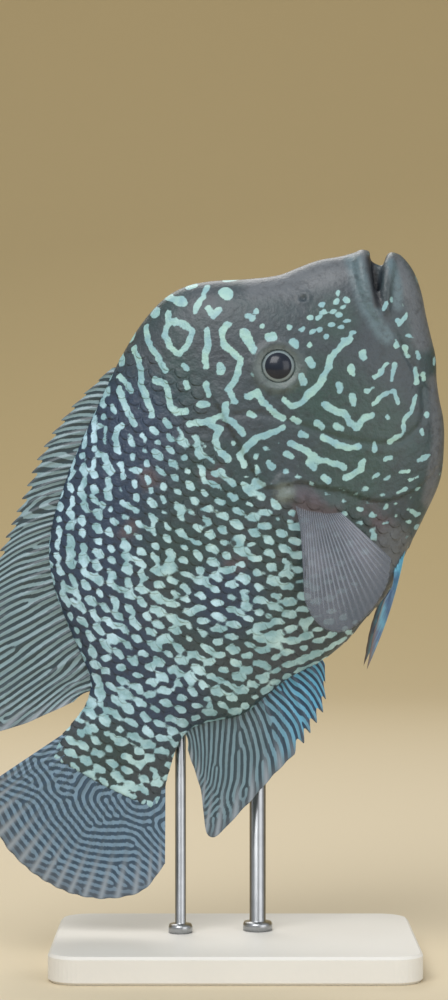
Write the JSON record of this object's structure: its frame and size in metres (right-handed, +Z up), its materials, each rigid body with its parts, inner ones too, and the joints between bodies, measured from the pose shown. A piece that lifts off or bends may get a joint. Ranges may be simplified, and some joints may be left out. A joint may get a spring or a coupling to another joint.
{
  "type": "flowerhorn cichlid model on a display stand",
  "caption": "Still life-size model of a deep-bodied aquarium cichlid held nose up on a flat base with slim rods.",
  "frame": {"origin": "middle of the underside of the stand's base", "axes": "+Z up, +X towards the side that the fish's snout leans to, -Y towards the fish's right side"},
  "size_m": [0.1818, 0.092, 0.2608],
  "materials": {
    "skin": "painted cast skin, dark slate with pale blue-green spots, satin and slightly wet looking",
    "fin": "painted cast fin, blue grey with darker lines between the rays",
    "eye": "clear gloss over a dark pupil and a silvery iris",
    "base": "plain satin off-white plate",
    "rod": "brushed steel rod"
  },
  "bodies": {
    "root": {"head": "skin", "lower_jaw": "skin", "gill_cover_left": "skin", "gill_cover_right": "skin", "trunk": "skin", "tail_base": "skin", "eye_left": "eye", "eye_right": "eye", "dorsal_fin": "fin", "anal_fin": "fin", "tail_fin": "fin", "pectoral_fin_left": "fin", "pectoral_fin_right": "fin", "pelvic_fin_left": "fin", "pelvic_fin_right": "fin", "stand_base": "base", "stand_belly_rod": "rod", "stand_tail_rod": "rod"}
  },
  "joints": []
}
